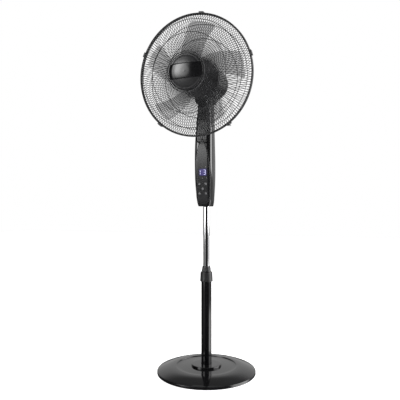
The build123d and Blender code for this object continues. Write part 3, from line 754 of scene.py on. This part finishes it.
# %% [markdown]
# ## Neck
# The neck is a short flared collar that tips with the head. Its underside is hollowed to a cylinder
# about the tilt axis, one millimetre larger than the column's round top, so the two slide past each
# other at any tilt.

# %% Neck collar
NECK = [(26.0, 30.0, -41.0, 36.0, 9.0), (36.0, 32.0, -42.5, 47.0, 9.0), (45.5, 34.5, -44.0, 63.0, 9.0)]
NECK_LOW, NECK_TOP = NECK[0][0], NECK[-1][0]
neck_z = np.concatenate([np.linspace(NECK_LOW, NECK_TOP - 0.9, 20), NECK_TOP - np.array([0.4, 0.1, 0, 0])])
half, front, rear, corner = smooth_table(NECK, neck_z).T
ring_x, ring_y = rounded_box(half, front, rear, corner)
neck_inset = np.array([0.0] * 20 + [0.1, 0.4, 0.9, 22.0])
shrink = (1 - neck_inset / half)[:, None]
middle = ((front + rear) / 2)[:, None]
ring_y = middle + (ring_y - middle) * shrink
saddle = np.sqrt(np.maximum((SADDLE_R + SADDLE_GAP) ** 2 - ring_y**2, 0.0))
neck_grid = np.stack([ring_x * shrink, ring_y, np.maximum(neck_z[:, None], saddle).clip(max=NECK_TOP)], -1)
under = [neck_grid[0] * [f, 1, 1] for f in (0.0, 0.5, 0.92)]
neck_grid = np.concatenate([under, neck_grid, neck_grid[-1:] * [0, 1, 1]])
piece("neck_collar", "neck", "gloss_black", [(neck_grid, quads(len(neck_grid), neck_grid.shape[1]))],
      head, ["neck_shell"], sharp=40)

# %% [markdown]
# ## Motor housing
# Behind the guard the housing is a barrel that narrows to the back, and its underside drops to
# meet the neck, like a teardrop. Each slice across the axis is a curve round the axis: for every
# angle it is the larger of the barrel's radius and the reach of the chin below it. A little
# smoothing turns the crease between the two into the soft blend of a moulding.

# %% Housing surface
BARREL = [(-120.0, 8.0), (-119.0, 26.0), (-116.0, 42.5), (-112.0, 51.5), (-106.0, 57.3), (-98.0, 60.0),
          (-60.0, 61.5), (0.0, 63.0), (40.0, 65.3), (52.0, 66.0)]
CHIN = [(46.0, 35.0, -45.0, 64.0, 10.0), (57.0, 39.0, -50.0, 82.0, 12.0), (70.0, 45.0, -53.0, 98.0, 14.0),
        (84.0, 46.0, -53.0, 103.0, 14.0)]


def chin_reach(forward, angle):
    """How far from the axis the chin goes in each direction, found by trying distances outward."""
    distance = np.linspace(20.0, 72.0, 209)[:, None, None]
    x = distance * np.cos(angle)[None, None, :]
    z = AXLE_HEIGHT + distance * np.sin(angle)[None, None, :]
    y = -forward[None, :, None]
    table = smooth_table(CHIN, np.clip(z, 46.0, 84.0).ravel()).T.reshape(4, *z.shape)
    half, front, rear, corner = table
    dx = np.maximum(np.abs(x) - (half - corner), 0)
    dy = np.maximum(np.maximum(front + corner - y, y - (rear - corner)), 0)
    inside = (np.hypot(dx, dy) <= corner) & (z >= 46.0) & (z <= 86.0)
    return np.where(inside, distance, 0.0).max(0)


slices = np.concatenate([np.linspace(-120.0, -100, 24), np.linspace(-98, 50.6, 70), [51.4, 52.0]])
angle = np.linspace(0, TURN, 160, endpoint=False)
radius = smooth_table(BARREL, slices)[:, 0][:, None] + 0 * angle
reach = chin_reach(slices, angle)
reach = np.where(slices[:, None] < -103, 0, reach)
body_r = np.maximum(radius, reach)
flat_floor = (np.sin(angle) < -0.2)[None, :] * (body_r > radius + 1.0)
for _ in range(3):
    blurred = (np.roll(body_r, 1, 1) + body_r + np.roll(body_r, -1, 1)) / 3
    blurred = np.maximum(blurred, radius)
    body_r = np.where(flat_floor, np.minimum(body_r, blurred), blurred)
for _ in range(4):
    body_r[1:-1] = (body_r[:-2] + body_r[1:-1] + body_r[2:]) / 3
body_r = np.maximum(body_r, radius * 0.985)
lowest = (AXLE_HEIGHT - 46.2) / np.maximum(-np.sin(angle), 1e-3)
body_r = np.where(np.sin(angle) < -0.05, np.minimum(body_r, lowest), body_r)
seam = 1 - 0.012 * np.exp(-(((slices - 28.0) / 0.9) ** 2))[:, None]
body_r = body_r * seam
housing = polar(body_r, angle, slices[:, None])
face_r = np.array([64.6, 63.4, 23.0, 22.0, 22.0, 12.0, 12.0])
face_s = np.array([54.4, 55.0, 55.0, 55.5, 72.0, 72.0, 50.0])
nose = polar(face_r[:, None], angle, face_s[:, None])
tail = housing[:1] * [0, 0, 1] - [0, 0, 0.4]
front_plug = nose[-1:] * [0, 0, 1]
housing = np.concatenate([tail, housing, nose, front_plug])


def vented_black():
    """Piano black with cooling slots across the round back of the housing: the slots are matt and bumped,
    and their darker colour is painted shade for the openings.
    """
    finish = Finish("vented_black", IOR=1.5)
    dust = finish.cloud(9.0).step(0.45, 0.8)
    up = finish.axis(2)
    slot_wave = (up * 900.0).maths("SINE", up * 900.0).step(0.1, 0.45)
    side = finish.axis(0).maths("ABSOLUTE", finish.axis(0)).below(0.03)
    rear_only = finish.axis(1).step(0.104, 0.107)
    height_band = up.above(1.095) * up.below(1.172)
    vent_slots_and_shade = slot_wave * side * rear_only * height_band
    # The darker colour in the slots is painted shade, standing for the shadowed openings; roughness and bump
    # give the slot shape.
    finish.feed(
        Base_Color=finish.mix(vent_slots_and_shade, (0.0065, 0.0065, 0.007), (0.0005, 0.0005, 0.0005)),
        Roughness=0.07 + 0.05 * dust + 0.6 * vent_slots_and_shade,
    )
    return finish.bump(1.0 - vent_slots_and_shade, 0.9, 0.002)


piece("motor_housing", "head", "gloss_black", [(housing, quads(len(housing), housing.shape[1]))], axle,
      ["motor_shell_front", "motor_shell_rear"], sharp=45, material=vented_black())

# %% [markdown]
# ## Wire guard
# Each half of the guard is about 150 spring-steel wires, bent to one dished profile and spot-welded
# to hoops. A wire is a small circle carried along the profile, six-sided because it is repeated so
# often, and all of them are made in one array: the profile turned to each wire's angle.

# %% Guard wires
WIRES = 150


def tube_along(path, radius, sides=6):
    """A round tube along (radius, height) points: the circle lies across the path's direction."""
    path = np.asarray(path, float)
    tangent = np.gradient(path, axis=0)
    tangent /= np.hypot(*tangent.T)[:, None]
    across = np.stack([-tangent[:, 1], tangent[:, 0]], -1)
    turn = np.linspace(0, TURN, sides, endpoint=False)
    flat = path[:, None] + radius * np.cos(turn)[None, :, None] * across[:, None]
    side = radius * np.sin(turn)[None, :] + 0 * flat[..., 0]
    return np.stack([flat[..., 0], side, flat[..., 1]], -1)


def radial_wires(table, radius, count, start=0.0):
    """Copies of one wire turned about the axis, with their ends closed."""
    table = np.asarray(table, float)
    length = np.concatenate([[0], np.cumsum(np.hypot(*np.diff(table, axis=0).T))])
    at = np.linspace(0, length[-1], 17)
    path = smooth_table(np.column_stack([length, table]), at)
    wire = tube_along(path, radius)
    wire = np.concatenate([wire[:1].mean(1, keepdims=True) + 0 * wire[:1], wire,
                           wire[-1:].mean(1, keepdims=True) + 0 * wire[-1:]])
    turn = start + TURN * np.arange(count) / count
    c, s = np.cos(turn)[:, None, None], np.sin(turn)[:, None, None]
    copies = np.stack([c * wire[..., 0] - s * wire[..., 1], s * wire[..., 0] + c * wire[..., 1],
                       wire[..., 2] + 0 * c], -1)
    cells = quads(*wire.shape[:2])
    shift = (np.arange(count) * wire.shape[0] * wire.shape[1])[:, None, None]
    return copies, (cells[None] + shift).reshape(-1, 4)


def hoop(radius, height, wire, steps=180, sides=10):
    """A welded hoop: a torus."""
    turn = np.linspace(0, TURN, sides, endpoint=False)
    return lathe(np.stack([radius + wire * np.cos(turn), height + wire * np.sin(turn)], -1), steps)


RIM = 113.0
WIRE_R, HOOP_R = 0.95, 1.1
BEAD_RING_R, BEAD_OFF, BEAD_R = 216.2, 2.6, 2.4
front_table = [(60, RIM + 81.0), (85, RIM + 77.5), (112, RIM + 71.5), (140, RIM + 62.5), (168, RIM + 51.0),
               (190, RIM + 38.5), (206, RIM + 23.0), (213.6, RIM + 10.0), (215.6, RIM + 4.6)]
rear_table = [(62, RIM - 56.0), (85, RIM - 58.6), (110, RIM - 60.2), (140, RIM - 60.0), (160, RIM - 54.5),
              (180, RIM - 41.5), (197, RIM - 23.5), (209, RIM - 9.0), (215.2, RIM - 4.2)]
front_grids = [radial_wires(front_table, WIRE_R, WIRES)]
front_grids += [hoop(70, RIM + 79.8, 1.5), hoop(140, RIM + 61.0, HOOP_R), hoop(190, RIM + 37.2, HOOP_R),
                hoop(BEAD_RING_R, RIM + BEAD_OFF, BEAD_R)]
front_grids.append(lathe([(6, RIM + 79.6), (62, RIM + 79.6), (62, RIM + 81.6), (6, RIM + 81.6)], 96))
piece("front_grille", "head", "wire_black", front_grids, axle, ["front_guard"], sharp=50)
rear_grids = [radial_wires(rear_table, WIRE_R, WIRES, start=TURN / WIRES / 2)]
rear_grids += [hoop(76, RIM - 57.0, 1.4), hoop(145, RIM - 58.8, HOOP_R), hoop(190, RIM - 31.5, HOOP_R),
               hoop(BEAD_RING_R, RIM - BEAD_OFF, BEAD_R)]
rear_grids.append(lathe([(22, RIM - 58.0), (72, RIM - 58.0), (72, RIM - 55.5), (22, RIM - 55.5)], 96))
piece("rear_grille", "head", "wire_black", rear_grids, axle, ["rear_guard"], sharp=50)

# %% [markdown]
# ## Rim and clips
# A dark band with a U-shaped section holds the two halves together, and five moulded clips
# snap over it. A clip is a short piece of a slightly larger turned section, so it hugs the rim.

# %% Rim band and clips
def channel(outer, inner, lip, half, gap):
    """A U-shaped section, open to the axis: outer and inner radius of its web, then its two lips."""
    return [(outer, RIM - half), (outer, RIM + half), (lip, RIM + half), (lip, RIM + gap),
            (inner, RIM + gap), (inner, RIM - gap), (lip, RIM - gap), (lip, RIM - half)]


LIP_R = 217.5
band_profile = bevelled(channel(220.0, 218.6, LIP_R, 6.6, 5.0), 1.0, 5)
piece("rim_band", "head", "satin_black", [lathe(band_profile, 240)], axle, ["guard_rim"], sharp=50)
clip_profile = bevelled(channel(224.0, 220.1, LIP_R, 8.6, 6.7), 1.5, 4)
spread = np.radians(np.array([-2.3, -2.3, -2.2, -1.2, 0, 1.2, 2.2, 2.3, 2.3]))
swell = np.array([0.0, 0.6, 1.0, 1.0, 1.0, 1.0, 1.0, 0.6, 0.0])
CLIP_ANGLES = (15.0, 81.0, 154.0, 229.0, 305.0)
clip_core = np.array([219.6, RIM])
section = clip_core + (clip_profile - clip_core)[None] * (swell > 0.1)[:, None, None]
section[:, :, 0] -= (0.8 * (1 - swell))[:, None]
clip_grids = []
for place in CLIP_ANGLES:
    turn = (math.radians(place) + spread)[:, None]
    clip_grids.append((polar(section[..., 0], turn, section[..., 1]), quads(*section.shape[:2])))
piece("clip_set", "head", "satin_black", clip_grids, axle, ["rim_clips"], sharp=50)

# %% [markdown]
# ## Front cap
# The cap is a shallow dome. Two lens-shaped fields above and below are sunk a little and have a
# finer, duller texture; the glossy band between them runs straight across, with a fine groove along
# each border. The dome is a polar grid whose height is a smooth curve of the radius, less a small
# step where the point lies in a field.

# %% Cap dome
CAP_BACK = 195.0
CAP = [(0.0, 13.0), (22.0, 12.2), (42.0, 9.6), (56.0, 6.0), (62.0, 3.0), (63.8, 1.4)]
cap_r = np.concatenate([np.linspace(0.05, 58, 90), np.linspace(58.6, 63.8, 14)])
cap_turn = np.linspace(0, TURN, 256, endpoint=False)
cap_x, cap_up = cap_r[:, None] * np.cos(cap_turn), cap_r[:, None] * np.sin(cap_turn)


def ramp(value, low, high):
    """0 below low, 1 above high, smooth between."""
    t = np.clip((value - low) / (high - low), 0, 1)
    return t * t * (3 - 2 * t)


BAND_TOP, BAND_LOW = 27.0, -24.0
border = np.where(cap_up > 0, cap_up - BAND_TOP, BAND_LOW - cap_up)
inner = 1 - ramp(cap_r, 56.0, 60.0)[:, None]
sunk = 1.0 * ramp(border, 0.0, 1.4) * inner
groove = 0.5 * np.exp(-((border / 0.9) ** 2)) * inner
cap_height = smooth_table(CAP, cap_r)[:, :1] - sunk - groove
dome_grid = np.stack([cap_x, cap_up, CAP_BACK + cap_height], -1)
wall_r = np.array([64.0, 64.0, 61.8, 57.0, 40.0, 0.0])
wall_s = CAP_BACK + np.array([0.6, -0.4, -0.4, 0.6, 5.0, 8.0])
wall = polar(wall_r[:, None], cap_turn, wall_s[:, None])
cap_grid = np.concatenate([dome_grid[:1] * [0, 0, 1], dome_grid, wall])


def cap_gloss():
    """Gloss on the cap's band, and a finer, softer texture on the two sunk fields."""
    finish = Finish("cap_gloss", IOR=1.5)
    height = finish.axis(2)
    field = height.above(1.1366) + height.below(1.0856)
    dust = finish.cloud(9.0).step(0.45, 0.8)
    finish.feed(
        Base_Color=finish.mix(field, (0.006, 0.006, 0.0065), (0.014, 0.014, 0.015)),
        Roughness=0.09 + 0.05 * dust + 0.2 * field,
    )
    return finish.bump(finish.cloud(2400.0, 1.0) * field, 0.06, 0.0004)


piece("domed_cap", "head", "gloss_black", [(cap_grid, quads(len(cap_grid), len(cap_turn)))], axle,
      ["front_cap"], sharp=60, material=cap_gloss())

# %% [markdown]
# ## Blades
# A fan blade is a twisted, cambered sheet. Here a blade is given by where its leading and trailing
# edges lie, as angles about the axis, and how deep it is, at six radii. Between the edges the sheet
# bows by a parabola. It is thickest in the middle and thins to its edges. Its tip follows a circle,
# so it clears the guard evenly.

# %% Blade surfaces
# radius, leading angle, trailing angle, half depth, camber, distance forward
BLADE = [
    (36.0, -13.0, 53.0, 15.5, 2.0, 108.0),
    (60.0, -14.8, 41.5, 17.5, 4.0, 110.0),
    (84.0, -16.3, 31.5, 18.0, 5.5, 111.5),
    (115.0, -18.8, 20.0, 16.0, 7.0, 113.0),
    (150.0, -22.2, 9.8, 13.5, 6.5, 114.5),
    (189.5, -26.6, 1.2, 10.5, 5.0, 115.5),
]


FACE_POINTS = 22


def blade_grid(turn):
    """Both faces of one blade: rows outward, columns round the section, pinched shut at the tip."""
    radius = np.concatenate([np.linspace(36.5, 181.5, 34), [185.0, 187.5, 188.8, 189.4]])
    leading, trailing, depth, camber, centre = smooth_table(BLADE, radius).T
    round_off = np.zeros_like(radius)
    round_off[-4:] = [0.02, 0.05, 0.1, 0.16]
    sweep = np.linspace(np.pi, 0, FACE_POINTS)
    u = np.cos(np.concatenate([sweep, sweep[::-1][1:-1]]))
    upper = np.where(np.arange(len(u)) < FACE_POINTS, 1.0, -1.0)
    u = u[None, :] * (1 - round_off)[:, None]
    middle, half = (leading + trailing)[:, None] / 2, (trailing - leading)[:, None] / 2
    width = np.radians(half) * radius[:, None]
    length = np.hypot(width, depth[:, None])
    bow = camber[:, None] * (1 - u**2)
    thick = 1.1 * np.sqrt(np.clip(1 - u**4, 0, 1)) + 0.1
    lift = bow + upper * thick
    angle = np.radians(middle + half * u) - lift * depth[:, None] / length / radius[:, None]
    forward = centre[:, None] + u * depth[:, None] + lift * width / length
    angle = angle + turn
    grid = polar(radius[:, None], angle, forward)
    root = grid[:1].mean(1, keepdims=True) + 0 * grid[:1]
    tip_edge = grid[-1:].copy()
    upper_row, lower_row = tip_edge[:, 1 : FACE_POINTS - 1], tip_edge[:, FACE_POINTS:][:, ::-1]
    midline = (upper_row + lower_row) / 2
    tip_edge[:, 1 : FACE_POINTS - 1] = midline
    tip_edge[:, FACE_POINTS:] = midline[:, ::-1]
    grid = np.concatenate([root, grid, tip_edge])
    return grid, quads(len(grid), grid.shape[1])


blade_grids = [blade_grid(math.radians(90 + 72 * k)) for k in range(5)]
hub_profile = np.concatenate([
    [(0.0, 80.5), (11.0, 80.5), (11.0, 124.0), (34.5, 124.0), (34.5, 76.0), (37.6, 76.0), (38.0, 77.0)],
    arc((35.0, 125.0), 3.0, 0, 90, 8),
    [(20.0, 128.0), (0.0, 128.0)],
])
blade_grids.append(lathe(hub_profile, 96))
piece("blade_set", "rotor", "smoke_blade", blade_grids, axle, ["fan_blades"], sharp=40)
spinner_profile = np.concatenate([[(0.0, 128.1), (14.6, 128.1), (15.0, 128.6), (14.2, 137.0)],
                                  arc((9.0, 138.0), 5.2, 0, 80, 8), [(5.0, 144.6), (0.0, 145.4)]])
piece("spinner_nut", "rotor", "satin_black", [lathe(spinner_profile, 64)], axle, ["blade_nut"], sharp=40)

# %% [markdown]
# ## Studio
# Glossy black is only visible by what it reflects. The room is dark towards the camera, which
# leaves black cores in the tubes. A large soft panel stands up on the left: it fades downwards, so
# the column's front face fades too, and it lays the bright patch on the cap. A narrow strip on the
# right draws the long streak down the column and the pole. Painting these panels on the room by
# their bearing and height gives them softer borders than lamps have. The camera itself sees plain
# white, as it would on a seamless paper roll.

# %% Room and lights
world = bpy.data.worlds.new("studio_room")
bpy.context.scene.world = world
world.use_nodes = True
tree = world.node_tree
split = tree.nodes.new("ShaderNodeSeparateXYZ")
tree.links.new(tree.nodes.new("ShaderNodeTexCoord").outputs["Generated"], split.inputs[0])
east, north, up = (Wire(tree, split.outputs[k]) for k in range(3))
toward_lens = east * float(back[0]) + north * float(back[1])
sideways = east * float(right[0]) + north * float(right[1])
bearing = sideways.maths("ARCTAN2", sideways, toward_lens)


def panel(value, low, middle, high):
    """A soft hump: nothing at low and high, full strength in the middle."""
    return value.step(low, middle) * (1.0 - value.step(middle, high))


soft_panel = panel(bearing, -1.32, -1.0, -0.58) * up.step(-0.06, 0.2) * (1.0 - up.step(0.34, 0.5))
panel_spill = panel(bearing, -1.5, -0.9, -0.45) * up.step(-0.6, -0.1)
strip_rows = 0.1 + 0.9 * up.step(0.0, 0.07) + 0.4 * (1.0 - up.step(-0.2, -0.13))
strip = bearing.step(0.9, 1.15) * (1.0 - bearing.step(1.7, 2.1)) * strip_rows * (1.0 - up.step(0.5, 0.8))
right_wall = panel(bearing, 1.9, 2.2, 2.7) * (1.0 - up.step(0.5, 0.8))
rear_wall = bearing.maths("ABSOLUTE", bearing).step(2.0, 2.6) * up.step(-0.15, 0.12)
rear_wall = rear_wall * (1.0 - 0.7 * up.step(0.45, 0.7))
room = 0.02 + 10.0 * soft_panel + 0.5 * panel_spill + 8.0 * strip + 0.3 * right_wall
room = room + 0.75 * rear_wall
seen = Wire(tree, tree.nodes.new("ShaderNodeLightPath").outputs["Is Camera Ray"])
level = seen + (1.0 - seen) * room
tree.links.new(level.socket, tree.nodes["Background"].inputs["Strength"])
tree.nodes["Background"].inputs["Color"].default_value = (1.0, 1.0, 1.0, 1.0)


def soft_box(name, place, target, width, height, power):
    """A rectangular area light aimed at a point."""
    data = bpy.data.lights.new(name, "AREA")
    data.shape, data.size, data.size_y, data.energy = "RECTANGLE", width, height, power
    made = bpy.data.objects.new(name, data)
    made.location = place
    aim = np.subtract(target, place)
    lean = math.acos(-aim[2] / np.linalg.norm(aim))
    made.rotation_euler = (lean, 0.0, math.atan2(aim[1], aim[0]) - math.pi / 2)
    bpy.context.collection.objects.link(made)
    return made


soft_box("top_box", (0.0, 0.2, 3.0), (0.0, 0.0, 0.5), 2.0, 2.0, 4.0)

# %% Floor
floor_mesh = bpy.data.meshes.new("studio_floor")
reach = 9.0
floor_corners = [(-reach, -reach, 0), (reach, -reach, 0), (reach, reach, 0), (-reach, reach, 0)]
floor_mesh.from_pydata(floor_corners, [], [(0, 1, 2, 3)])
floor = bpy.data.objects.new("studio_floor", floor_mesh)
bpy.context.collection.objects.link(floor)
paper = Finish("floor_paper", Roughness=0.9, Emission_Strength=1.0)
mottle = paper.cloud(3.0)
paper.feed(Base_Color=paper.mix(mottle, (0.88, 0.88, 0.88), (0.9, 0.9, 0.9)),
           Emission_Color=paper.mix(mottle, (0.98, 0.98, 0.98), (1.0, 1.0, 1.0)))
floor_mesh.materials.append(paper.material)
floor.visible_glossy = False
bpy.context.scene.view_settings.view_transform = "Standard"
